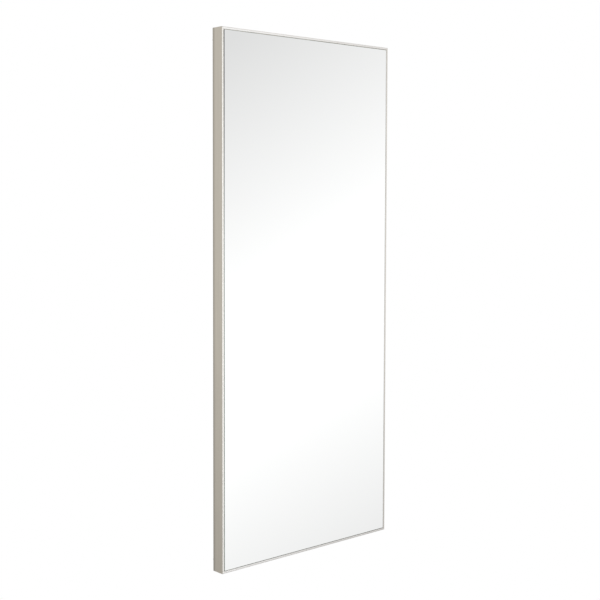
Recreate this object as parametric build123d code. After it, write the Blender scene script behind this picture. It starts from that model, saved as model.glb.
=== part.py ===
from build123d import *
import math
import os

# A tall wall mirror in a deep, slim metal frame. X runs to the right along the face, Y runs
# from the room into the wall and Z is up. The origin is the centre of the wall plane.

# Overall size
overall_width = 610.0
overall_height = 1397.0
frame_depth = 38.0

# Frame section: the front lip on a hollow leg, a shelf behind the panel and a rear skirt
lip_width = 5.8
leg_width = 8.0
wall = 1.5
shelf_width = 16.0
return_width = 10.0
lip_edge_radius = 1.2
lip_inner_radius = 0.3
rear_edge_radius = 1.2
return_edge_radius = 0.4
mitre_gap = 0.12

# Panel stack, from the front backwards
reveal = 1.4
glass_proud = 0.8
glass_thickness = 4.0
glass_arris = 0.5
film_thickness = 0.3
film_margin = 1.0
ledge_clearance = 0.2
board_gap = 1.5
tape_thickness = 2.5
tape_width = 25.0
tape_end_margin = 35.0
tape_side_margin = 20.0
tape_count = 5
board_thickness = 6.0
batten_thickness = 12.0
batten_width = 45.0
batten_chamfer = 0.8

# Cross rails on the back of the board
rail_width = 60.0
rail_from_end = 250.0

# Nylon spacers between the hollow leg and the sub-frame, two on each side
spacer_length = 30.0
spacer_depth = 10.0
spacer_shelf_gap = 0.5

# Cast corner keys, glued into the hollow leg of both sides
key_clearance = 0.1
key_leg = 62.0
key_inner_bend = 0.25

# Flat corner plates behind the shelf, with one screw near the end of each leg
plate_thickness = 1.5
plate_width = 15.0
plate_leg = 76.0
plate_corner_radius = 3.0
plate_screw_from_end = 10.0

# Wood screws with a pan head
screw_radius = 1.75
screw_hole_radius = 2.0
screw_head_radius = 3.5
screw_head_height = 2.1
screw_crown_radius = 2.6
screw_tip_length = 2.0
screw_tip_margin = 2.5
pilot_clearance = 0.05
upright_screw_count = 2
rail_screw_count = 1

# Hangers: a strap with a rolled eye, and the D-ring that turns in it
hanger_spacing = 406.4
strap_thickness = 1.2
strap_width = 13.0
strap_end_margin = 6.5
strap_foot_radius = 5.5
eye_clearance = 0.08
eye_open_angle = 55.0
axis_below_rail_top = 1.0
ring_wire_radius = 1.75
ring_inner_width = 19.0
ring_length = 20.0
ring_corner_radius = 2.75
hanger_screw_clearance = 1.5

# Rubber wall bumpers on the rear edge of the frame
bumper_radius = 4.0
bumper_thickness = 1.5
bumper_edge_chamfer = 0.4
bumper_from_end = 30.0

# Where each layer lies, measured backwards from the front of the lip
glass_back = glass_thickness - glass_proud
film_back = glass_back + film_thickness
ledge_front = film_back + ledge_clearance
board_front = film_back + tape_thickness
board_back = board_front + board_thickness
shelf_front = board_back + batten_thickness
shelf_back = shelf_front + wall
plate_back = shelf_back + plate_thickness
shelf_tip = leg_width + shelf_width
pane_inset = lip_width + reveal
pane_width = overall_width - 2 * pane_inset
pane_height = overall_height - 2 * pane_inset
board_inset = leg_width + board_gap
board_width = overall_width - 2 * board_inset
board_height = overall_height - 2 * board_inset
screw_line = leg_width + shelf_width / 2
front_y = -(frame_depth + bumper_thickness)
cut_margin = 1.0

# Turn about Y that takes the left upright to each side, with half the size across it and its length
sides = {
    "left_upright": (0, overall_width / 2, overall_height),
    "top_rail": (90, overall_height / 2, overall_width),
    "right_upright": (180, overall_width / 2, overall_height),
    "bottom_rail": (-90, overall_height / 2, overall_width),
}

# Turn about Y that takes the bottom left corner to each corner, with the signs of its X and Z
corners = {
    "bottom_left": (0, -1, -1),
    "top_left": (90, -1, 1),
    "top_right": (180, 1, 1),
    "bottom_right": (-90, 1, -1),
}


def along_y(shape_2d, start, end):
    """Extrude a sketch drawn with X across and Z up from one depth behind the lip to another."""
    placed = Plane(origin=(0, end, 0), x_dir=(1, 0, 0), z_dir=(0, -1, 0)) * shape_2d
    return extrude(placed, amount=end - start)


def side_place(turn, half_size):
    """Location that takes the local upright (outer face at X 0, lip at Y 0) to its side."""
    return Rot(0, turn, 0) * Pos(-half_size, front_y, 0)


def corner_place(turn, sign_x, sign_z):
    """Location that takes the local bottom left corner to its corner."""
    return Pos(sign_x * overall_width / 2, front_y, sign_z * overall_height / 2) * Rot(0, turn, 0)


def group(solids):
    """Several identical pieces kept as separate solids in one node."""
    return Compound(children=list(solids))


def even_places(count, length):
    """Places of a row of screws that divides a length into equal bays, from its middle."""
    bay = length / (count + 1)
    return [bay * (i + 1) - length / 2 for i in range(count)]


def middle_screw_places(side):
    """Places along one side of the screws that stand between its corner plates."""
    length = sides[side][2]
    count = upright_screw_count if side.endswith("upright") else rail_screw_count
    return even_places(count, length - 2 * plate_leg)


def section_outline():
    """Outer line of the extruded section: X inwards from the outer face, Y back from the lip.

    The pane lies in the rebate in front of the ledge and stands a little proud of the lip.
    """
    outline = Polyline(
        (0, 0),
        (lip_width, 0),
        (lip_width, ledge_front),
        (leg_width, ledge_front),
        (leg_width, shelf_front),
        (shelf_tip, shelf_front),
        (shelf_tip, shelf_back),
        (wall, shelf_back),
        (wall, frame_depth - wall),
        (return_width, frame_depth - wall),
        (return_width, frame_depth),
        (0, frame_depth),
        close=True,
    )
    return make_face(outline)


def corner_of(sketch, x, y):
    """The vertex of a sketch that lies nearest to a point."""
    return min(sketch.vertices(), key=lambda v: math.hypot(v.X - x, v.Y - y))


def frame_section():
    """The section with its rounded edges and the closed slot that takes the corner keys."""
    section = section_outline()
    rounded = [
        ((0, 0), lip_edge_radius),
        ((lip_width, 0), lip_inner_radius),
        ((0, frame_depth), rear_edge_radius),
        ((return_width, frame_depth), return_edge_radius),
    ]
    for (x, y), radius in rounded:
        section = fillet(corner_of(section, x, y), radius)
    slot_width = leg_width - 2 * wall
    slot_front = ledge_front + wall
    slot = Rectangle(slot_width, shelf_front - slot_front)
    return section - Pos(leg_width / 2, (slot_front + shelf_front) / 2) * slot


def mitre_block(length):
    """The space that one side of the frame keeps between its two 45 degree mitres."""
    reach = shelf_tip + cut_margin
    half = length / 2 - mitre_gap / math.sqrt(2)
    outline = Polyline(
        (-cut_margin, -half - cut_margin),
        (reach, reach - half),
        (reach, half - reach),
        (-cut_margin, half + cut_margin),
        close=True,
    )
    return along_y(make_face(outline), -cut_margin, frame_depth + cut_margin)


def plate_screw_distance():
    """How far the screws of a corner plate stand from the outer corner of the frame."""
    return plate_leg - plate_screw_from_end


def frame_side(side):
    """One mitred length of the section with its screw holes."""
    turn, half_size, length = sides[side]
    bar = extrude(frame_section(), amount=length / 2, both=True)
    bar = bar & mitre_block(length)
    end_place = length / 2 - plate_screw_distance()
    for z in middle_screw_places(side) + [-end_place, end_place]:
        hole = Rot(90, 0, 0) * Cylinder(screw_hole_radius, 3 * wall)
        bar -= Pos(screw_line, (shelf_front + shelf_back) / 2, z) * hole
    return side_place(turn, half_size) * bar


def corner_angle(offset, thickness, leg, outer_radius, inner_bend):
    """L outline with both legs of one width, standing off both outer faces of the frame."""
    far = offset + thickness
    outline = Polyline(
        (offset, offset), (leg, offset), (leg, far), (far, far), (far, leg), (offset, leg), close=True
    )
    sketch = make_face(outline)
    sketch = fillet(corner_of(sketch, offset, offset), outer_radius)
    return fillet(corner_of(sketch, far, far), inner_bend)


def corner_key(corner):
    """A cast angle, a sliding fit in the slots of two sides."""
    offset = wall + key_clearance
    thickness = leg_width - 2 * offset
    sketch = corner_angle(offset, thickness, key_leg, key_inner_bend + thickness, key_inner_bend)
    key = along_y(sketch, ledge_front + wall + key_clearance, shelf_front - key_clearance)
    return corner_place(*corners[corner]) * key


def plate_screw_points():
    """Screw places of a corner plate, as X and Z from the outer corner of the frame."""
    return [(screw_line, plate_screw_distance()), (plate_screw_distance(), screw_line)]


def corner_plate(corner):
    """A flat steel L on the back of the shelf, screwed through it into the battens."""
    offset = screw_line - plate_width / 2
    sketch = corner_angle(offset, plate_width, plate_leg, plate_corner_radius, plate_corner_radius)
    far = offset + plate_width
    for x, y in ((plate_leg, offset), (plate_leg, far), (far, plate_leg), (offset, plate_leg)):
        sketch = fillet(corner_of(sketch, x, y), plate_corner_radius)
    for x, z in plate_screw_points():
        sketch -= Pos(x, z) * Circle(screw_hole_radius)
    return corner_place(*corners[corner]) * along_y(sketch, shelf_back, plate_back)


def wood_screw(grip):
    """Pan head screw along Y: the head sits on Y 0 and the shank runs towards minus Y."""
    bite = batten_thickness - screw_tip_margin
    end = -(grip + bite)
    outline = Polyline(
        (0, end),
        (screw_radius, end + screw_tip_length),
        (screw_radius, 0),
        (screw_head_radius, 0),
        (screw_crown_radius, screw_head_height),
        (0, screw_head_height),
        close=True,
    )
    return revolve(make_face(outline), Axis.Y)


def plate_screws():
    screw = wood_screw(wall + plate_thickness)
    solids = []
    for corner in corners.values():
        for x, z in plate_screw_points():
            solids.append(corner_place(*corner) * Pos(x, plate_back, z) * screw)
    return group(solids)


def shelf_screws():
    screw = wood_screw(wall)
    solids = []
    for side, (turn, half_size, _) in sides.items():
        for z in middle_screw_places(side):
            solids.append(side_place(turn, half_size) * Pos(screw_line, shelf_back, z) * screw)
    return group(solids)


def slab(width, height, start, end):
    """A flat sheet centred on the panel, between two depths behind the lip."""
    return Pos(0, front_y, 0) * along_y(Rectangle(width, height), start, end)


def mirror_glass():
    """The silvered pane with its edges ground to a small arris."""
    pane = slab(pane_width, pane_height, -glass_proud, glass_back)
    rims = pane.edges().group_by(Axis.Y)
    return chamfer(rims[0] + rims[-1], glass_arris)


def safety_film():
    return slab(pane_width - 2 * film_margin, pane_height - 2 * film_margin, glass_back, film_back)


def bonding_strips():
    """Foam strips that run up the panel, spread evenly over its width."""
    span = board_width - 2 * tape_side_margin - tape_width
    length = board_height - 2 * tape_end_margin
    strip = slab(tape_width, length, film_back, board_front)
    step = span / (tape_count - 1)
    return group(Pos(i * step - span / 2, 0, 0) * strip for i in range(tape_count))


def backing_board():
    return slab(board_width, board_height, board_front, board_back)


def batten(width, height):
    """One length of batten on the back of the board, its rear long edges eased."""
    blank = slab(width, height, board_back, shelf_front)
    long_way = Axis.Z if height > width else Axis.X
    long_edges = blank.edges().filter_by(long_way).group_by(Axis.Y)[-1]
    return chamfer(long_edges, batten_chamfer)


def panel_pilot_points():
    """X and Z of every screw that bites into the battens along the shelf."""
    points = []
    for turn, sign_x, sign_z in corners.values():
        for x, z in plate_screw_points():
            along_x = sign_x * (overall_width / 2 - x)
            along_z = sign_z * (overall_height / 2 - z)
            points.append((along_x, along_z))
    for z in middle_screw_places("left_upright"):
        points += [(x, z) for x in (screw_line - overall_width / 2, overall_width / 2 - screw_line)]
    for x in middle_screw_places("top_rail"):
        points += [(x, z) for z in (screw_line - overall_height / 2, overall_height / 2 - screw_line)]
    return points


def drilled(piece, points):
    """Drill the pilot holes that fall inside a batten, seen from behind."""
    box = piece.bounding_box()
    rear = front_y + shelf_front
    deep = batten_thickness - screw_tip_margin
    for x, z in points:
        if box.min.X < x < box.max.X and box.min.Z < z < box.max.Z:
            drill = Rot(90, 0, 0) * Cylinder(screw_radius + pilot_clearance, 2 * deep)
            piece -= Pos(x, rear, z) * drill
    return piece


def side_batten(sign):
    blank = batten(batten_width, board_height)
    x = sign * (board_width - batten_width) / 2
    return drilled(Pos(x, 0, 0) * blank, panel_pilot_points())


def end_batten(sign):
    blank = batten(board_width - 2 * batten_width, batten_width)
    z = sign * (board_height - batten_width) / 2
    return drilled(Pos(0, 0, z) * blank, panel_pilot_points())


def rail_height():
    """Height of the middle of the hanging rail above the middle of the mirror."""
    return overall_height / 2 - rail_from_end - rail_width / 2


def cross_rail(sign):
    blank = batten(board_width - 2 * batten_width, rail_width)
    return drilled(Pos(0, 0, sign * rail_height()) * blank, hanger_screw_points())


def gap_spacers():
    """Nylon blocks that keep the sub-frame centred between the hollow legs, two to a side."""
    middle = shelf_front - spacer_shelf_gap - spacer_depth / 2
    solids = []
    for turn, half_size, length in sides.values():
        block = Box(board_gap, spacer_depth, spacer_length)
        block = Pos(leg_width + board_gap / 2, middle, 0) * block
        for z in (-length / 4, length / 4):
            solids.append(side_place(turn, half_size) * Pos(0, 0, z) * block)
    return group(solids)


def eye_outer_radius():
    return ring_wire_radius + eye_clearance + strap_thickness


def hanger_axis(sign):
    """Centre of the D-ring's straight bar, where the ring turns."""
    y = front_y + shelf_front + eye_outer_radius()
    z = rail_height() + rail_width / 2 - axis_below_rail_top
    return (sign * hanger_spacing / 2, y, z)


def hanger_screw_drops():
    """How far below the axis the two strap screws stand: one inside the loop, one beyond it."""
    inside = (eye_outer_radius() + ring_length - ring_wire_radius) / 2
    beyond = ring_length + ring_wire_radius + screw_head_radius + hanger_screw_clearance
    return [inside, beyond]


def hanger_screw_points():
    points = []
    for sign in (-1, 1):
        x, _, z = hanger_axis(sign)
        points += [(x, z - drop) for drop in hanger_screw_drops()]
    return points


def hanger_strap(sign):
    """A steel strip screwed to the rail, its upper end rolled round the bar of the D-ring."""
    outer = eye_outer_radius()
    inner = outer - strap_thickness
    length = hanger_screw_drops()[-1] + strap_end_margin
    mouth_end = math.radians(180 + eye_open_angle)
    mouth = make_face(
        Polyline(
            (0, 0),
            (-2 * outer, 0),
            (-2 * outer, 2 * outer * math.sin(mouth_end)),
            (2 * outer * math.cos(mouth_end), 2 * outer * math.sin(mouth_end)),
            close=True,
        )
    )
    leaf = Pos(-outer + strap_thickness / 2, -length / 2) * Rectangle(strap_thickness, length)
    profile = Circle(outer) - Circle(inner) - mouth + leaf
    strap = extrude(Plane.YZ * profile, amount=strap_width / 2, both=True)
    foot = strap.edges().filter_by(Axis.Y).group_by(Axis.Z)[0]
    strap = fillet(foot, strap_foot_radius)
    for drop in hanger_screw_drops():
        strap -= Pos(0, -outer, -drop) * Rot(90, 0, 0) * Cylinder(screw_hole_radius, 3 * strap_thickness)
    return Pos(*hanger_axis(sign)) * strap


def hanger_screws():
    screw = wood_screw(strap_thickness)
    seat = front_y + shelf_front + strap_thickness
    return group(Pos(x, seat, z) * screw for x, z in hanger_screw_points())


def d_ring(sign):
    """Round wire bent to a closed D, standing up from its straight bar."""
    half = ring_inner_width / 2 + ring_wire_radius
    bend = ring_corner_radius
    diagonal = bend * (1 - math.sqrt(0.5))
    shoulder = ring_length - half
    edges = [
        Line((0, 0, 0), (half - bend, 0, 0)),
        ThreePointArc((half - bend, 0, 0), (half - diagonal, 0, diagonal), (half, 0, bend)),
        Line((half, 0, bend), (half, 0, shoulder)),
        ThreePointArc((half, 0, shoulder), (0, 0, ring_length), (-half, 0, shoulder)),
        Line((-half, 0, shoulder), (-half, 0, bend)),
        ThreePointArc((-half, 0, bend), (diagonal - half, 0, diagonal), (bend - half, 0, 0)),
        Line((bend - half, 0, 0), (0, 0, 0)),
    ]
    path = Wire(edges)
    wire_face = Plane(origin=(0, 0, 0), z_dir=(1, 0, 0)) * Circle(ring_wire_radius)
    ring = sweep(wire_face, path=path)
    return Pos(*hanger_axis(sign)) * ring


def wall_bumper(sign_x, sign_z):
    """A rubber disc on the rear edge of an upright, its wall side at Y 0."""
    x = sign_x * (overall_width / 2 - return_width / 2)
    z = sign_z * (overall_height / 2 - bumper_from_end)
    disc = Rot(90, 0, 0) * Cylinder(bumper_radius, bumper_thickness)
    disc = chamfer(disc.edges().group_by(Axis.Y)[-1], bumper_edge_chamfer)
    return Pos(x, -bumper_thickness / 2, z) * disc


def build_nodes():
    nodes = {}
    for side in sides:
        nodes["frame_" + side] = frame_side(side)
    for corner, (_, sign_x, sign_z) in corners.items():
        nodes["corner_key_" + corner] = corner_key(corner)
        nodes["corner_plate_" + corner] = corner_plate(corner)
        nodes["wall_bumper_" + corner] = wall_bumper(sign_x, sign_z)
    for name, sign in (("left", -1), ("right", 1)):
        nodes["batten_" + name] = side_batten(sign)
        nodes["hanger_strap_" + name] = hanger_strap(sign)
        nodes["d_ring_" + name] = d_ring(sign)
    for name, sign in (("bottom", -1), ("top", 1)):
        nodes["batten_" + name] = end_batten(sign)
    nodes["hanging_rail"] = cross_rail(1)
    nodes["lower_crossbar"] = cross_rail(-1)
    nodes["mirror_glass"] = mirror_glass()
    nodes["safety_film"] = safety_film()
    nodes["bonding_strips"] = bonding_strips()
    nodes["backing_board"] = backing_board()
    nodes["gap_spacers"] = gap_spacers()
    nodes["plate_screws"] = plate_screws()
    nodes["shelf_screws"] = shelf_screws()
    nodes["hanger_screws"] = hanger_screws()
    return nodes


os.makedirs("parts", exist_ok=True)
for node, shape in build_nodes().items():
    export_step(shape, f"parts/{node}.step")
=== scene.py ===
import math

import bmesh
import bpy
import numpy as np
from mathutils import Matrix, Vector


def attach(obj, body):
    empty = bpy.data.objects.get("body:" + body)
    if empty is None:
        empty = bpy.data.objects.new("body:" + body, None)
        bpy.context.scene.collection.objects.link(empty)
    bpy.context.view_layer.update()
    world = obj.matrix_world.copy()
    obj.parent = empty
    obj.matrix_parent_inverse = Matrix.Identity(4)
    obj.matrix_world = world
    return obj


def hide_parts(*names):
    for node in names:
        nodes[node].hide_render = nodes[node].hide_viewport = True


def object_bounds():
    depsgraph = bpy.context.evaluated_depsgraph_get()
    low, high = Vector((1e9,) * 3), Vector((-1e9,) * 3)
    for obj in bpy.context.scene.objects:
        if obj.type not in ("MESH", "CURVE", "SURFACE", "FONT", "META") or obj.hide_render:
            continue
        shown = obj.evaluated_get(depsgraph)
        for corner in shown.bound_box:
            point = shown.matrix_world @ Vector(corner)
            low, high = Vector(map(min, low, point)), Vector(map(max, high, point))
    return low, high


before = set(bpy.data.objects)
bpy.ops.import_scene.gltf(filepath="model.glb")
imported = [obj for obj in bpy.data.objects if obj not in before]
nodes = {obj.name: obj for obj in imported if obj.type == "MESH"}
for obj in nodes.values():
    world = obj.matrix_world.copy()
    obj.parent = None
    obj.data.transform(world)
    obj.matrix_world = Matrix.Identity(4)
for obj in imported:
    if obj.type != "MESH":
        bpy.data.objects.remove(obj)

cadBounds = [list(corner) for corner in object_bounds()]
print("stage: frame loaded,", len(nodes), "nodes")


# Shader maths: a Tap is one output socket, and arithmetic on it adds Math nodes
class Tap:
    def __init__(self, sheet, node, socket):
        self.sheet = sheet
        self.node = node
        self.socket = socket

    def out(self, name):
        return Tap(self.sheet, self.node, self.node.outputs[name])

    def math(self, operation, *others):
        return self.sheet.add("ShaderNodeMath", {"operation": operation}, self, *others)

    def __add__(self, other):
        return self.math("ADD", other)

    def __radd__(self, other):
        return self.math("ADD", other)

    def __sub__(self, other):
        return self.math("SUBTRACT", other)

    def __rsub__(self, other):
        return self.sheet.add("ShaderNodeMath", {"operation": "SUBTRACT"}, other, self)

    def __mul__(self, other):
        return self.math("MULTIPLY", other)

    def __rmul__(self, other):
        return self.math("MULTIPLY", other)

    def __truediv__(self, other):
        return self.math("DIVIDE", other)

    def __neg__(self):
        return self.math("MULTIPLY", -1.0)

    def __abs__(self):
        return self.math("ABSOLUTE")


# A node tree to write on; every node but the Math ones comes from add()
class Sheet:
    def __init__(self, tree):
        self.tree = tree
        self.tree.nodes.clear()

    def add(self, kind, settings=None, *inputs, **named):
        node = self.tree.nodes.new(kind)
        for name, value in (settings or {}).items():
            if name == "stops":
                self.setStops(node.color_ramp, value)
            else:
                setattr(node, name, value)
        for key, value in [*enumerate(inputs), *named.items()]:
            socket = node.inputs[key.replace("_", " ") if isinstance(key, str) else key]
            if isinstance(value, Tap):
                self.tree.links.new(value.socket, socket)
            elif value is not None:
                socket.default_value = value
        visible = [socket for socket in node.outputs if socket.enabled]
        return Tap(self, node, visible[0] if visible else None)

    def setStops(self, ramp, stops):
        while len(ramp.elements) < len(stops):
            ramp.elements.new(0.5)
        for element, (position, colour) in zip(ramp.elements, stops):
            element.position = position
            element.color = (*colour, 1.0)

    def smooth(self, value, start, end):  # 0 before start, 1 after end, eased between them
        settings = {"interpolation_type": "SMOOTHSTEP"}
        return self.add("ShaderNodeMapRange", settings, value, start, end, 0.0, 1.0)

    def blend(self, factor, first, second):  # colour first at factor 0, second at factor 1
        mix = self.add("ShaderNodeMix", {"data_type": "RGBA"}, factor)
        for name, colour in (("A_Color", first), ("B_Color", second)):
            socket = next(s for s in mix.node.inputs if s.identifier == name)
            if isinstance(colour, Tap):
                self.tree.links.new(colour.socket, socket)
            else:
                socket.default_value = (*colour, 1.0)
        return Tap(self, mix.node, next(s for s in mix.node.outputs if s.identifier == "Result_Color"))

    def shade(self, colour, factor):  # a colour times a number
        return self.add("ShaderNodeVectorMath", {"operation": "SCALE"}, colour, Scale=factor)

    def dot(self, vector, direction):
        product = self.add("ShaderNodeVectorMath", {"operation": "DOT_PRODUCT"}, vector, tuple(direction))
        return product.out("Value")

    def place(self):  # Object coordinates and their three parts
        spot = self.add("ShaderNodeTexCoord").out("Object")
        parts = self.add("ShaderNodeSeparateXYZ", None, spot)
        return spot, parts.out("X"), parts.out("Y"), parts.out("Z")

    def noise(self, spot, stretch, detail=2.0, roughness=0.5):  # noise with its own scale along each axis
        scaled = self.add("ShaderNodeVectorMath", {"operation": "MULTIPLY"}, spot, tuple(stretch))
        settings = {"Scale": 1.0, "Detail": detail, "Roughness": roughness}
        return self.add("ShaderNodeTexNoise", None, Vector=scaled, **settings)

    def bump(self, height, strength, distance):
        return self.add("ShaderNodeBump", None, Strength=strength, Distance=distance, Height=height)


def material(name, paint):
    made = bpy.data.materials.new(name)
    made.use_nodes = True
    sheet = Sheet(made.node_tree)
    shader = sheet.add("ShaderNodeBsdfPrincipled", None, **paint(sheet))
    sheet.add("ShaderNodeOutputMaterial", None, shader)
    return made


# Satin nickel, brushed along each side of the frame, with painted shade towards the rear edge and towards the
# bottom, and a painted highlight on the front lip
nickel = {
    "colour": (0.66, 0.61, 0.526),
    "lipFrom": -0.0392,
    "lipTo": -0.0384,
    "paintedLightLipUp": (0.68, 0.645, 0.60),
    "paintedLightLipAcross": (0.80, 0.775, 0.745),
    "roughness": 0.36,
    "streaksAcross": 1500.0,
    "streaksAlong": 14.0,
    "streakContrast": 0.16,
    "streakDepth": 0.00002,
    "rearSoft": 0.014,
    "paintedRearShade": 0.42,
    "lowSoft": 0.75,
    "lowShade": 0.13,
}


def brushedNickel(name, along):
    def paint(sheet):
        spot, x, y, z = sheet.place()
        stretch = [nickel["streaksAcross"]] * 3
        stretch[along] = nickel["streaksAlong"]
        streak = sheet.noise(spot, stretch, 3.0, 0.6)
        cloud = sheet.noise(spot, (6.0, 6.0, 3.0))
        tone = 1.0 + (streak - 0.5) * (2 * nickel["streakContrast"]) + (cloud - 0.5) * 0.04
        # Painted shade: the metal's colour is darkened over the last few millimetres towards the rear edge
        rear = cadBounds[1][1]
        paintedRearShadeMask = sheet.smooth(y, rear - nickel["rearSoft"], rear)
        tone = tone * (1.0 - paintedRearShadeMask * nickel["paintedRearShade"])
        # Painted shade: the metal's colour is darkened towards the bottom of the frame
        low = sheet.smooth(z, cadBounds[0][2] + nickel["lowSoft"], cadBounds[0][2])
        tone = tone * (1.0 - low * nickel["lowShade"])
        # Painted highlight: the front lip gets a lighter colour than the rest of the metal, lighter still on
        # the top and bottom rails
        lip = sheet.smooth(y, nickel["lipTo"], nickel["lipFrom"])
        paintedLipLight = nickel["paintedLightLipUp"] if along == 2 else nickel["paintedLightLipAcross"]
        colour = sheet.blend(lip, nickel["colour"], paintedLipLight)
        return {
            "Base_Color": sheet.shade(colour, tone),
            "Metallic": 1.0,
            "Roughness": (streak - 0.5) * 0.12 + nickel["roughness"],
            "Normal": sheet.bump(streak, 0.15, nickel["streakDepth"]),
        }
    return material(name, paint)


# Silvered pane: a clear front, ground edges and grey protective paint behind; the upper part of the left edge
# carries painted shade
pane = {
    "silver": (0.955, 0.96, 0.957),
    "edge": (0.55, 0.62, 0.58),
    "edgePaintedShade": (0.02, 0.025, 0.025),
    "shadedFrom": 0.1,
    "shadedTo": 0.6,
    "paint": (0.33, 0.35, 0.36),
}


def mirrorPane():
    def paint(sheet):
        facing = sheet.add("ShaderNodeTexCoord").out("Normal")
        parts = sheet.add("ShaderNodeSeparateXYZ", None, facing)
        front = sheet.smooth(parts.out("Y"), -0.9, -0.98)
        back = sheet.smooth(parts.out("Y"), 0.9, 0.98)
        spot, x, y, z = sheet.place()
        # Painted shade: the upper part of the left-facing edge and its arris is turned nearly black
        high = sheet.smooth(z, pane["shadedFrom"], pane["shadedTo"]) * sheet.smooth(parts.out("X"), -0.3, -0.6)
        edgeOrBack = sheet.blend(back, sheet.blend(high, pane["edge"], pane["edgePaintedShade"]), pane["paint"])
        return {
            "Base_Color": sheet.blend(front, edgeOrBack, pane["silver"]),
            "Metallic": front,
            "Roughness": (1.0 - front) * 0.2 + back * 0.35,
            "Specular_IOR_Level": 0.15,
        }
    return material("silveredPane", paint)


# Planed softwood, its grain along the length of each piece
pine = {
    "light": (0.66, 0.48, 0.28),
    "dark": (0.50, 0.31, 0.15),
    "ringSpacing": 0.009,
    "wander": 46.0,
}


def planedPine(name, along):
    def paint(sheet):
        spot, x, y, z = sheet.place()
        across = x if along == 2 else z
        stretch = [30.0] * 3
        stretch[along] = 2.6
        wander = sheet.noise(spot, stretch, 2.0, 0.5)
        patchStretch = [55.0] * 3
        patchStretch[along] = 4.0
        patch = sheet.noise(spot, patchStretch, 2.0, 0.5)
        fibreStretch = [2400.0] * 3
        fibreStretch[along] = 40.0
        fibre = sheet.noise(spot, fibreStretch, 3.0, 0.6)
        phase = across * (2 * math.pi / pine["ringSpacing"]) + (wander - 0.5) * pine["wander"] + y * 500.0
        ring = sheet.smooth(phase.math("SINE") * 0.5 + 0.5, 0.2, 1.0) * sheet.smooth(patch, 0.25, 0.65)
        grain = (ring * 0.5 + fibre * 0.45 + patch * 0.15).math("MINIMUM", 1.0)
        return {
            "Base_Color": sheet.blend(grain, pine["light"], pine["dark"]),
            "Roughness": fibre * 0.15 + 0.55,
            "Normal": sheet.bump(fibre + ring * 0.2, 0.35, 0.0002),
        }
    return material(name, paint)


# Bare fibreboard
board = {
    "light": (0.40, 0.28, 0.17),
    "dark": (0.26, 0.17, 0.10),
}


def fibreboard():
    def paint(sheet):
        spot, x, y, z = sheet.place()
        fleck = sheet.noise(spot, (900.0, 900.0, 900.0), 4.0, 0.65)
        cloud = sheet.noise(spot, (7.0, 7.0, 7.0), 3.0)
        tone = (fleck * 0.75 + cloud * 0.5 - 0.15).math("MINIMUM", 1.0)
        return {
            "Base_Color": sheet.blend(tone, board["light"], board["dark"]),
            "Roughness": fleck * 0.1 + 0.78,
            "Normal": sheet.bump(fleck, 0.3, 0.0003),
        }
    return material("bareFibreboard", paint)


# Bright zinc plate
zinc = {
    "bright": (0.70, 0.72, 0.75),
    "cloudy": (0.60, 0.60, 0.58),
}


def zincPlate():
    def paint(sheet):
        spot, x, y, z = sheet.place()
        cloud = sheet.noise(spot, (260.0, 260.0, 260.0), 3.0, 0.6)
        grit = sheet.noise(spot, (3200.0, 3200.0, 3200.0), 2.0, 0.5)
        return {
            "Base_Color": sheet.blend(sheet.smooth(cloud, 0.35, 0.7), zinc["bright"], zinc["cloudy"]),
            "Metallic": 1.0,
            "Roughness": cloud * 0.22 + 0.2,
            "Normal": sheet.bump(grit, 0.2, 0.00005),
        }
    return material("zincPlate", paint)


# Plain soft and moulded stuff: two near tones, fine grain
plainStuff = {
    "foamTape": {"light": (0.80, 0.80, 0.77), "dark": (0.66, 0.66, 0.63), "grain": 1500.0, "roughness": 0.85},
    "greyFilm": {"light": (0.36, 0.38, 0.39), "dark": (0.30, 0.32, 0.33), "grain": 700.0, "roughness": 0.35},
    "nylonBlock": {"light": (0.72, 0.70, 0.64), "dark": (0.64, 0.62, 0.56), "grain": 300.0, "roughness": 0.45},
    "darkRubber": {
        "light": (0.035, 0.035, 0.038),
        "dark": (0.02, 0.02, 0.022),
        "grain": 1800.0,
        "roughness": 0.75,
    },
}


def plain(name):
    stuff = plainStuff[name]

    def paint(sheet):
        spot, x, y, z = sheet.place()
        grain = sheet.noise(spot, [stuff["grain"]] * 3, 3.0, 0.6)
        return {
            "Base_Color": sheet.blend(sheet.smooth(grain, 0.3, 0.7), stuff["light"], stuff["dark"]),
            "Roughness": grain * 0.12 + stuff["roughness"],
            "Normal": sheet.bump(grain, 0.3, 0.0001),
        }
    return material(name, paint)


finishes = {
    # The two frame finishes differ in brush direction and in the painted highlight on the lip
    "frameUp": brushedNickel("brushedNickelUp", 2),
    "frameAcross": brushedNickel("brushedNickelAcross", 0),
    "pane": mirrorPane(),
    "pineUp": planedPine("planedPineUp", 2),
    "pineAcross": planedPine("planedPineAcross", 0),
    "board": fibreboard(),
    "zinc": zincPlate(),
    **{name: plain(name) for name in plainStuff},
}
wearers = {
    "frameUp": ["frame_left_upright", "frame_right_upright"],
    "frameAcross": ["frame_top_rail", "frame_bottom_rail"],
    "pane": ["mirror_glass"],
    "pineUp": ["batten_left", "batten_right"],
    "pineAcross": ["batten_top", "batten_bottom", "hanging_rail", "lower_crossbar"],
    "board": ["backing_board"],
    "zinc": [n for n in nodes if n.startswith(("corner_", "hanger_", "d_ring")) or n.endswith("_screws")],
    "foamTape": ["bonding_strips"],
    "greyFilm": ["safety_film"],
    "nylonBlock": ["gap_spacers"],
    "darkRubber": [n for n in nodes if n.startswith("wall_bumper")],
}
for finish, names in wearers.items():
    for name in names:
        nodes[name].data.materials.clear()
        nodes[name].data.materials.append(finishes[finish])
print("stage: finishes")


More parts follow.
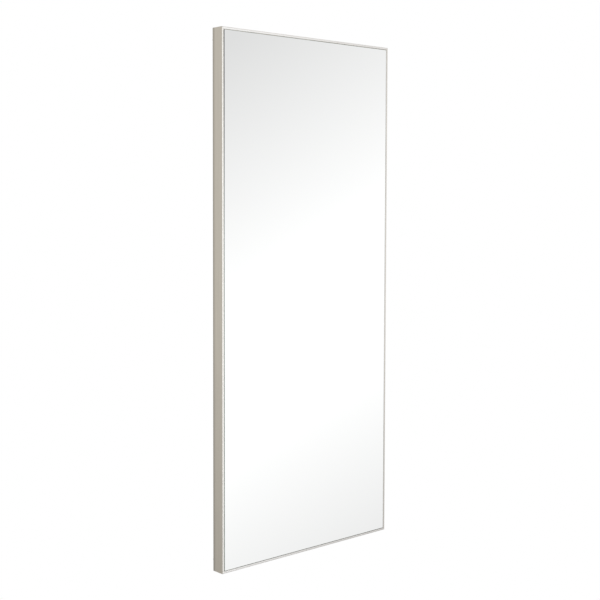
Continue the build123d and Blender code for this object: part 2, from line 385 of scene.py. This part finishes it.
# Arrays of points to objects: each shell is points, four-cornered faces, and end faces of any shape
def gridFaces(rows, columns):
    row, column = np.meshgrid(np.arange(rows - 1), np.arange(columns), indexing="ij")
    after = (column + 1) % columns
    here, onward = row * columns, (row + 1) * columns
    corners = [here + column, here + after, onward + after, onward + column]
    return np.stack(corners, axis=-1).reshape(-1, 4)


def closedGrid(points):  # points[row, column, xyz]; columns run round, rows along, and both ends are capped
    rows, columns = points.shape[:2]
    ring = np.arange(columns)
    return points.reshape(-1, 3), gridFaces(rows, columns), [ring[::-1], ring + (rows - 1) * columns]


def piece(name, shells, finish, body="root", sharp=35.0):
    vertices = np.concatenate([points for points, _, _ in shells])
    faces = []
    start = 0
    for points, quads, caps in shells:
        faces += (quads + start).tolist() + [(cap + start).tolist() for cap in caps]
        start += len(points)
    mesh = bpy.data.meshes.new(name)
    mesh.from_pydata(vertices.tolist(), [], faces)
    shell = bmesh.new()  # merges doubles and turns the faces of each closed shell outwards
    shell.from_mesh(mesh)
    bmesh.ops.remove_doubles(shell, verts=shell.verts, dist=1e-7)
    bmesh.ops.recalc_face_normals(shell, faces=shell.faces)
    shell.to_mesh(mesh)
    shell.free()
    mesh.polygons.foreach_set("use_smooth", np.ones(len(mesh.polygons), dtype=bool))
    mesh.set_sharp_from_angle(angle=math.radians(sharp))
    mesh.materials.append(finishes[finish])
    made = bpy.data.objects.new(name, mesh)
    bpy.context.scene.collection.objects.link(made)
    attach(made, body)
    return made


def roundedOutline(corners, radii, steps):
    # Each right-angled corner P between neighbours A and B becomes P + r (a + b) - r (a sin t + b cos t)
    # for t from 0 to 90 degrees, where a and b are the unit vectors from P to A and to B
    here = np.array(corners)
    toBefore = np.roll(here, 1, axis=0) - here
    toAfter = np.roll(here, -1, axis=0) - here
    a = (toBefore / np.linalg.norm(toBefore, axis=1, keepdims=True))[:, None, :]
    b = (toAfter / np.linalg.norm(toAfter, axis=1, keepdims=True))[:, None, :]
    r = np.array(radii)[:, None, None]
    t = np.linspace(0.0, math.pi / 2, steps)[None, :, None]
    arc = here[:, None, :] + r * (a + b) - r * (b * np.cos(t) + a * np.sin(t))
    return arc.reshape(-1, 2)


halfSize = [(cadBounds[1][axis] - cadBounds[0][axis]) / 2 for axis in (0, 2)]  # along X and Z

# Frame sides: the metal section, as X in from the outer face and Y back from the lip, with every edge eased
section = {
    "front": -0.0395,
    "lip": 0.0058,
    "leg": 0.008,
    "wall": 0.0015,
    "ledge": 0.0037,
    "shelfFront": 0.024,
    "shelfTip": 0.024,
    "depth": 0.038,
    "return": 0.010,
    "outerEdge": 0.0012,
    "innerEdge": 0.0003,
    "rearEdge": 0.0012,
    "smallEdge": 0.0002,
    "mitreGap": 0.00012,
    "steps": 9,
}


def frameSides():
    m = section
    shelfBack = m["shelfFront"] + m["wall"]
    corners = [
        ((0, 0), m["outerEdge"]),
        ((m["lip"], 0), m["innerEdge"]),
        ((m["lip"], m["ledge"]), m["smallEdge"]),
        ((m["leg"], m["ledge"]), m["smallEdge"]),
        ((m["leg"], m["shelfFront"]), m["smallEdge"]),
        ((m["shelfTip"], m["shelfFront"]), m["smallEdge"]),
        ((m["shelfTip"], shelfBack), m["smallEdge"]),
        ((m["wall"], shelfBack), m["smallEdge"]),
        ((m["wall"], m["depth"] - m["wall"]), m["smallEdge"]),
        ((m["return"], m["depth"] - m["wall"]), m["smallEdge"]),
        ((m["return"], m["depth"]), m["smallEdge"]),
        ((0, m["depth"]), m["rearEdge"]),
    ]
    outer = roundedOutline([c[0] for c in corners], [c[1] for c in corners], m["steps"])
    # The closed slot in the leg, which the corner keys fill
    near, far, slotFront = m["wall"], m["leg"] - m["wall"], m["ledge"] + m["wall"]
    slot = [(near, slotFront), (far, slotFront), (far, m["shelfFront"]), (near, m["shelfFront"])]
    slot = roundedOutline(slot, [m["smallEdge"]] * 4, m["steps"])
    outline = np.concatenate([outer, slot])
    count, total = len(outer), len(outline)
    here = np.arange(total)
    after = np.concatenate([np.roll(here[:count], -1), np.roll(here[count:], -1)])
    walls = np.stack([here, after, total + after, total + here], axis=-1)
    # Each end is two faces, which meet between the lip and the slot and between the shelf and the slot
    outerTurn, slotTurn = 4 * m["steps"], count + 2 * m["steps"]
    halves = [
        np.r_[:outerTurn + 1, slotTurn:count - 1:-1],
        np.r_[outerTurn:count, 0, count, total - 1:slotTurn - 1:-1],
    ]
    ends = halves + [half + total for half in halves]
    wide, tall = halfSize
    # Each side runs to its two 45 degree mitres: along = v (half length - mitre gap / sqrt 2 - x), v = -1 and 1
    sides = {
        "frame_left_upright": (wide, tall, (1, 0), (0, 1), "frameUp"),
        "frame_right_upright": (wide, tall, (-1, 0), (0, -1), "frameUp"),
        "frame_top_rail": (tall, wide, (0, -1), (1, 0), "frameAcross"),
        "frame_bottom_rail": (tall, wide, (0, 1), (-1, 0), "frameAcross"),
    }
    for node, (half, halfLength, inward, onward, finish) in sides.items():
        x = outline[:, 0]
        reach = halfLength - m["mitreGap"] / math.sqrt(2) - x
        along = np.array([[-1.0], [1.0]]) * reach
        across = np.broadcast_to(x - half, along.shape)
        flat = across[..., None] * np.array(inward) + along[..., None] * np.array(onward)
        depth = np.broadcast_to(m["front"] + outline[:, 1], along.shape)
        points = np.stack([flat[..., 0], depth, flat[..., 1]], axis=-1)
        made = piece("metal_" + node, [(points.reshape(-1, 3), walls, ends)], finish)
        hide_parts(node)


frameSides()
print("stage: frame sides")


# Turned pieces: a profile of radius and height, spun round the Y axis through a place
def spin(profile, count, place, ripple=None):
    # x = R cos a, z = R sin a, y = h, where R = r + ripple(a, h) for pieces that aren't plainly round
    profile = np.array(profile, dtype=float)
    a = np.linspace(0.0, 2 * math.pi, count, endpoint=False)[None, :]
    r = profile[:, :1]
    h = profile[:, 1:]
    if ripple is not None:
        r, h = ripple(r, h, a)
    r, h, a = np.broadcast_arrays(r, h, a)
    return np.stack([place[0] + r * np.cos(a), place[1] + h, place[2] + r * np.sin(a)], axis=-1)


# Pan-head wood screws with a cross recess; the shank, with its thread, is out of sight in the wood
screw = {
    "head": 0.0035,
    "crown": 0.0026,
    "headHeight": 0.0021,
    "shank": 0.00175,
    "core": 0.00125,
    "pitch": 0.0016,
    "tip": 0.002,
    "bite": 0.0095,
    "slotHalfWidth": 0.00042,
    "slotReach": 0.0019,
    "slotDepth": 0.0012,
    "slotMiddle": 0.0008,
    "around": 96,
}


def screwShell(place, grip, turn):
    m = screw
    rise = np.linspace(0.0, 1.0, 44)
    # Dome: r = head sin(t), height falls as 1 - 0.35 (r / head)^2 down to the rim
    r = m["head"] * np.sin(rise * math.pi / 2)
    dome = m["headHeight"] * (1.0 - 0.35 * (r / m["head"]) ** 2)
    rim = np.array([[m["head"], m["headHeight"] * 0.35], [m["head"] * 0.985, 0.0001], [m["head"] * 0.95, 0.0]])
    length = grip + m["bite"]
    down = np.linspace(0.0, -length, 52)
    taper = np.clip((down + length) / m["tip"], 0.02, 1.0)
    shank = np.stack([m["shank"] * taper, down], axis=1)
    profile = np.concatenate([np.stack([r, dome], axis=1)[1:], rim, shank])

    def shape(r, h, a):
        # Recess: the depth eases to nothing outside two crossed slots. Thread: a triangle wave along the helix
        x, z = r * np.cos(a + turn), r * np.sin(a + turn)
        near = np.minimum(np.abs(x), np.abs(z))
        far = np.maximum(np.abs(x), np.abs(z))
        across = np.clip((m["slotHalfWidth"] - near) / 0.0001, 0, 1)
        inside = across * np.clip((m["slotReach"] - far) / 0.0004, 0, 1)
        inside = np.maximum(inside, np.clip((m["slotMiddle"] - r) / 0.0002, 0, 1))
        top = h > m["headHeight"] * 0.6
        sunk = h - np.where(top, m["slotDepth"] * inside * (1.0 - 0.4 * far / m["slotReach"]), 0.0)
        wave = np.abs(((h / m["pitch"] + a / (2 * math.pi)) % 1.0) * 2.0 - 1.0)
        threaded = (h < -grip) & (h < 0)
        cut = np.where(threaded, (m["shank"] - m["core"]) * (1.0 - wave) * np.minimum(1.0, r / m["shank"]), 0.0)
        return r - cut, sunk

    return closedGrid(spin(profile, m["around"], place, shape))


def screws(node, places, grip):
    shells = [screwShell(place, grip, 0.4 + 1.3 * i) for i, place in enumerate(places)]
    made = piece("turned_" + node, shells, "zinc", sharp=40.0)
    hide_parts(node)


# Flat L-shaped corner plates of steel strip, and the line of screws that they share with the shelf
plate = {
    "width": 0.015,
    "leg": 0.076,
    "radius": 0.003,
    "thick": 0.0015,
    "edge": 0.0002,
    "screwFromEnd": 0.010,
    "screwLine": 0.016,
}
shelfBack = section["front"] + section["shelfFront"] + section["wall"]
signs = [(-1, -1), (-1, 1), (1, 1), (1, -1)]  # X and Z of the bottom left, top left, top right and bottom right


def frameScrews():
    line = plate["screwLine"]
    far = plate["leg"] - plate["screwFromEnd"]
    wide, tall = halfSize
    onPlates = [
        (signX * (wide - x), shelfBack + plate["thick"], signZ * (tall - z))
        for signX, signZ in signs for x, z in ((line, far), (far, line))
    ]
    third = (tall - plate["leg"]) / 3  # two screws divide the way between the plates into three bays
    onShelf = [(signX * (wide - line), shelfBack, signZ * third) for signX, signZ in signs]
    onShelf += [(0.0, shelfBack, sign * (tall - line)) for sign in (-1, 1)]
    screws("plate_screws", onPlates, section["wall"] + plate["thick"])
    screws("shelf_screws", onShelf, section["wall"])


frameScrews()

# Hangers: the strap's strip rolled round the bar of the D-ring, both about the hanger axis
hanger = {
    "spacing": 0.4064,
    "axisY": -0.01247,
    "axisZ": 0.4475,
    "strip": 0.0012,
    "width": 0.013,
    "clearance": 0.00008,
    "openAngle": 55.0,
    "drops": (0.01064, 0.02675),
    "endMargin": 0.0065,
    "footRadius": 0.0055,
    "edge": 0.00018,
    "wire": 0.00175,
    "inner": 0.019,
    "length": 0.020,
    "corner": 0.00275,
    "cutEase": 0.0003,
    "cutGap": 0.00004,
    "cutChamfer": 0.0002,
}


def stripSection(halfWide, halfThick, edge, steps=5):
    # Rounded rectangle, across the strip in one direction and through it in the other
    corners = [(-halfWide, -halfThick), (halfWide, -halfThick), (halfWide, halfThick), (-halfWide, halfThick)]
    return roundedOutline(corners, [edge] * 4, steps)


def strapShell(centre):
    m = hanger
    middle = m["wire"] + m["clearance"] + m["strip"] / 2
    length = m["drops"][1] + m["endMargin"]
    foot = np.linspace(0.0, 1.0, 12)
    footDrop = -length + m["footRadius"] * (1.0 - np.cos(foot * math.pi / 2))
    footWide = m["width"] / 2 - m["footRadius"] * (1.0 - np.sin(foot * math.pi / 2))
    flat = np.stack([np.full(13, -middle), np.append(footDrop, 0.0)], axis=1)
    turn = np.radians(np.linspace(180.0, 180.0 + m["openAngle"] - 360.0, 72))[1:]
    # Rolled eye: the strip's middle line is y = R cos t, z = R sin t, from the leaf over the top and round
    rolled = np.stack([middle * np.cos(turn), middle * np.sin(turn)], axis=1)
    path = np.concatenate([flat, rolled])
    wide = np.append(footWide, np.full(len(path) - 12, m["width"] / 2))
    tangent = np.gradient(path, axis=0)
    tangent /= np.linalg.norm(tangent, axis=1, keepdims=True)
    normal = np.stack([-tangent[:, 1], tangent[:, 0]], axis=1)
    outline = stripSection(1.0, m["strip"] / 2, m["edge"])
    reach = outline[None, :, 0] * wide[:, None]
    off = outline[None, :, 1, None] * normal[:, None, :]
    spots = path[:, None, :] + off
    points = np.stack([centre[0] + reach, centre[1] + spots[..., 0], centre[2] + spots[..., 1]], axis=-1)
    return closedGrid(points)


def ringShell(centre):
    m = hanger
    across = m["inner"] / 2 + m["wire"]
    bend = m["corner"]
    t = np.linspace(0.0, 1.0, 17)
    quarter = t * math.pi / 2
    # Middle line of the wire: half the bar, a small bend, the leg, half the bow, then the same mirrored
    lower = np.stack([across - bend + bend * np.sin(quarter), bend - bend * np.cos(quarter)], axis=1)
    bow = np.linspace(0.0, math.pi / 2, 49)
    upper = np.stack([across * np.cos(bow), m["length"] - across + across * np.sin(bow)], axis=1)
    bar = np.stack([np.linspace(m["cutEase"], across - bend, 12), np.zeros(12)], axis=1)
    bar[0] = (m["cutGap"] / 2, 0.0)
    right = np.concatenate([bar[:-1], lower, upper])
    left = right[::-1] * np.array([-1.0, 1.0])
    path = np.concatenate([right, left[1:]])
    tangent = np.gradient(path, axis=0)
    tangent /= np.linalg.norm(tangent, axis=1, keepdims=True)
    normal = np.stack([-tangent[:, 1], tangent[:, 0]], axis=1)
    a = np.linspace(0.0, 2 * math.pi, 40, endpoint=False)
    radius = np.full(len(path), m["wire"])
    radius[[0, -1]] -= m["cutChamfer"]  # cut ends that butt in the middle of the bar
    sideways = np.cos(a)[None, :, None] * (normal * radius[:, None])[:, None, :]
    outward = np.sin(a)[None, :] * radius[:, None]
    spots = path[:, None, :] + sideways
    points = np.stack([centre[0] + spots[..., 0], centre[1] + outward, centre[2] + spots[..., 1]], axis=-1)
    return closedGrid(points)


for name, sign in (("left", -1), ("right", 1)):
    centre = (sign * hanger["spacing"] / 2, hanger["axisY"], hanger["axisZ"])
    strap = piece("rolled_hanger_strap_" + name, [strapShell(centre)], "zinc")
    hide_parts("hanger_strap_" + name)
    ring = piece("bent_d_ring_" + name, [ringShell(centre)], "zinc", "ring_" + name, 50.0)
    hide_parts("d_ring_" + name)
seat = section["front"] + section["shelfFront"] + hanger["strip"]
hangerPlaces = [
    (sign * hanger["spacing"] / 2, seat, hanger["axisZ"] - drop) for sign in (-1, 1) for drop in hanger["drops"]
]
screws("hanger_screws", hangerPlaces, hanger["strip"])


def plateShell(signX, signZ):
    m = plate
    near = m["screwLine"] - m["width"] / 2
    far = near + m["width"]
    corners = [(near, near), (near, m["leg"]), (far, m["leg"]), (far, far), (m["leg"], far), (m["leg"], near)]
    outline = roundedOutline(corners, [m["radius"]] * 6, 12)
    onward = np.roll(outline, -1, axis=0) - np.roll(outline, 1, axis=0)
    onward /= np.linalg.norm(onward, axis=1, keepdims=True)
    inward = np.stack([onward[:, 1], -onward[:, 0]], axis=1)
    # Edge: inset = e (1 - cos t), depth = e sin t at either face, the flat rim between
    t = np.linspace(0.0, math.pi / 2, 5)
    inset = m["edge"] * (1.0 - np.sin(t))
    deep = m["edge"] * (1.0 - np.cos(t))
    insets = np.concatenate([inset, inset[::-1]])
    depths = np.concatenate([deep, m["thick"] - deep[::-1]])
    flat = outline[None] + insets[:, None, None] * inward[None]
    points = np.stack([
        signX * (halfSize[0] - flat[..., 0]),
        np.broadcast_to(shelfBack + depths[:, None], flat.shape[:2]),
        signZ * (halfSize[1] - flat[..., 1]),
    ], axis=-1)
    return closedGrid(points)


# Wall bumpers: rubber discs with a soft edge towards the wall
bumper = {
    "radius": 0.004,
    "thick": 0.0015,
    "edge": 0.0006,
    "fromSide": 0.005,
    "fromEnd": 0.030,
    "centre": 0.0001,
    "around": 64,
}


def bumperShell(signX, signZ):
    # Edge: r = radius - e (1 - sin t), y = -e (1 - cos t), then straight down the rim
    m = bumper
    t = np.linspace(0.0, math.pi / 2, 10)
    soft = np.stack([m["radius"] - m["edge"] * (1 - np.sin(t)), -m["edge"] * (1 - np.cos(t))], axis=1)
    rim = [[m["radius"], -m["thick"]], [m["centre"], -m["thick"]]]
    profile = np.concatenate([[[m["centre"], 0.0]], soft, rim])
    place = (signX * (halfSize[0] - m["fromSide"]), 0.0, signZ * (halfSize[1] - m["fromEnd"]))
    return closedGrid(spin(profile, m["around"], place))


for label, (signX, signZ) in zip(("bottom_left", "top_left", "top_right", "bottom_right"), signs):
    flatL = piece("pressed_corner_plate_" + label, [plateShell(signX, signZ)], "zinc")
    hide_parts("corner_plate_" + label)
    disc = piece("soft_wall_bumper_" + label, [bumperShell(signX, signZ)], "darkRubber")
    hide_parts("wall_bumper_" + label)
print("stage: fasteners and hangers")


# The studio, as a direction sees it: a broad bright sweep to the front right, plain grey elsewhere
studio = {
    "sweepAzimuth": 43.0,
    "sweepElevation": -6.7,
    "sweepSlant": 0.62,
    "sweepPeak": 1.06,
    "sweepHalfWidth": 4.0,
    "sweepFall": 0.0275,
    "surround": 0.77,
    "diffuse": 0.78,
    "lowShade": 0.3,
}


def sweepAxes():
    # Unit vector to the middle of the sweep, and the unit normal of its slanting band
    azimuth = math.radians(studio["sweepAzimuth"])
    elevation = math.radians(studio["sweepElevation"])
    flat = math.cos(elevation)
    middle = np.array([math.sin(azimuth) * flat, -math.cos(azimuth) * flat, math.sin(elevation)])
    rightward = np.array([math.cos(azimuth), math.sin(azimuth), 0.0])
    upward = np.cross(rightward, middle) * -1.0
    upward = upward if upward[2] > 0 else -upward
    normal = upward - studio["sweepSlant"] * rightward
    return middle, normal / np.linalg.norm(normal)


def studioWorld():
    world = bpy.data.worlds.new("studio")
    world.use_nodes = True
    sheet = Sheet(world.node_tree)
    toward = sheet.add("ShaderNodeTexCoord").out("Generated")
    height = sheet.add("ShaderNodeSeparateXYZ", None, toward).out("Z")
    middle, normal = sweepAxes()
    degreesAway = abs(sheet.dot(toward, normal).math("ARCSINE")) * math.degrees(1.0)
    fall = (degreesAway - studio["sweepHalfWidth"]).math("MAXIMUM", 0.0) * studio["sweepFall"]
    sweep = studio["sweepPeak"] - fall
    low = sheet.smooth(height, math.sin(math.radians(-5.0)), math.sin(math.radians(-35.0)))
    around = studio["surround"] * (1.0 - low * studio["lowShade"])
    inFront = sheet.smooth(sheet.dot(toward, middle), 0.4, 0.8)
    sweep = sweep.math("MAXIMUM", around)
    reflected = around + (sweep - around) * inFront
    path = sheet.add("ShaderNodeLightPath")
    seen = path.out("Is Camera Ray").math("MAXIMUM", path.out("Is Transmission Ray"))
    glossy = path.out("Is Glossy Ray")
    strength = glossy * reflected + (1.0 - glossy) * studio["diffuse"]
    strength = seen + (1.0 - seen) * strength
    back = sheet.add("ShaderNodeBackground", None, (1.0, 1.0, 1.0, 1.0), strength)
    sheet.add("ShaderNodeOutputWorld", None, back)
    bpy.context.scene.world = world


studioWorld()

# Soft boxes: place by azimuth from the front towards +X, height and distance; all face the mirror
lamps = {
    "stripFront": {"azimuth": 20.0, "height": -0.2, "distance": 3.0, "wide": 1.2, "tall": 3.4, "power": 22.0},
    "boxBehind": {"azimuth": 165.0, "height": 1.6, "distance": 3.0, "wide": 1.6, "tall": 1.6, "power": 22.0},
}
lampTint = (0.88, 0.94, 1.0)


def softBox(name, azimuth, height, distance, wide, tall, power):
    lamp = bpy.data.lights.new(name, "AREA")
    lamp.shape = "RECTANGLE"
    lamp.size = wide
    lamp.size_y = tall
    lamp.energy = power
    lamp.color = lampTint
    box = bpy.data.objects.new(name, lamp)
    turn = math.radians(azimuth)
    spot = np.array([math.sin(turn) * distance, -math.cos(turn) * distance, height])
    box.location = spot
    box.rotation_euler = (math.pi / 2 - math.atan2(height, distance), 0.0, turn)
    bpy.context.scene.collection.objects.link(box)


for name, settings in lamps.items():
    softBox(name, **settings)


# Pale floor below the hung mirror, shadowed near it and plain white further away
ground = {
    "drop": 0.55,
    "reach": 12.0,
    "colour": (0.9, 0.9, 0.9),
    "shadedOut": 0.45,
    "whiteFrom": 1.08,
}


def paleFloor():
    size = ground["reach"]
    level = cadBounds[0][2] - ground["drop"]
    u, v = np.meshgrid([-size, size], [-size, size])
    corners = np.stack([u.ravel(), v.ravel(), np.full(4, level)], axis=1)
    mesh = bpy.data.meshes.new("paleFloor")
    mesh.from_pydata(corners.tolist(), [], [(0, 1, 3, 2)])
    floor = bpy.data.objects.new("paleFloor", mesh)
    bpy.context.scene.collection.objects.link(floor)
    made = bpy.data.materials.new("paleFloor")
    made.use_nodes = True
    sheet = Sheet(made.node_tree)
    spot, x, y, z = sheet.place()
    far = (x * x + y * y).math("SQRT")
    away = sheet.smooth(far, ground["shadedOut"], ground["whiteFrom"])
    path = sheet.add("ShaderNodeLightPath")
    camera = path.out("Is Camera Ray")
    glossy = path.out("Is Glossy Ray")
    painted = sheet.add("ShaderNodeBsdfDiffuse", None, (*ground["colour"], 1.0))
    white = sheet.add("ShaderNodeEmission", None, (1.0, 1.0, 1.0, 1.0), 1.0)
    clear = sheet.add("ShaderNodeBsdfTransparent")
    seen = sheet.add("ShaderNodeMixShader", None, camera * away, painted, white)
    whole = sheet.add("ShaderNodeMixShader", None, glossy, seen, clear)
    sheet.add("ShaderNodeOutputMaterial", None, whole)
    mesh.materials.append(made)


paleFloor()
print("stage: studio")

# Camera at the photograph's station
shot = {
    "station": (-2.0849, -2.2378, 0.2574),
    "yaw": 40.498,
    "pitch": 3.207,
    "roll": -0.025,
    "lens": 67.04,
    "shiftX": 0.0810,
    "shiftY": -0.0583,
}


def makeCamera():
    camera = bpy.data.cameras.new("camera")
    camera.sensor_width = 36.0
    camera.lens = shot["lens"]
    camera.shift_x = shot["shiftX"]
    camera.shift_y = shot["shiftY"]
    camera.clip_end = 100.0
    holder = bpy.data.objects.new("camera", camera)
    holder.location = shot["station"]
    angles = (90.0 - shot["pitch"], shot["roll"], -shot["yaw"])
    holder.rotation_euler = [math.radians(angle) for angle in angles]
    bpy.context.scene.collection.objects.link(holder)
    bpy.context.scene.camera = holder


makeCamera()
bpy.context.scene.view_settings.view_transform = "Standard"
bpy.context.view_layer.update()
print("stage: done")
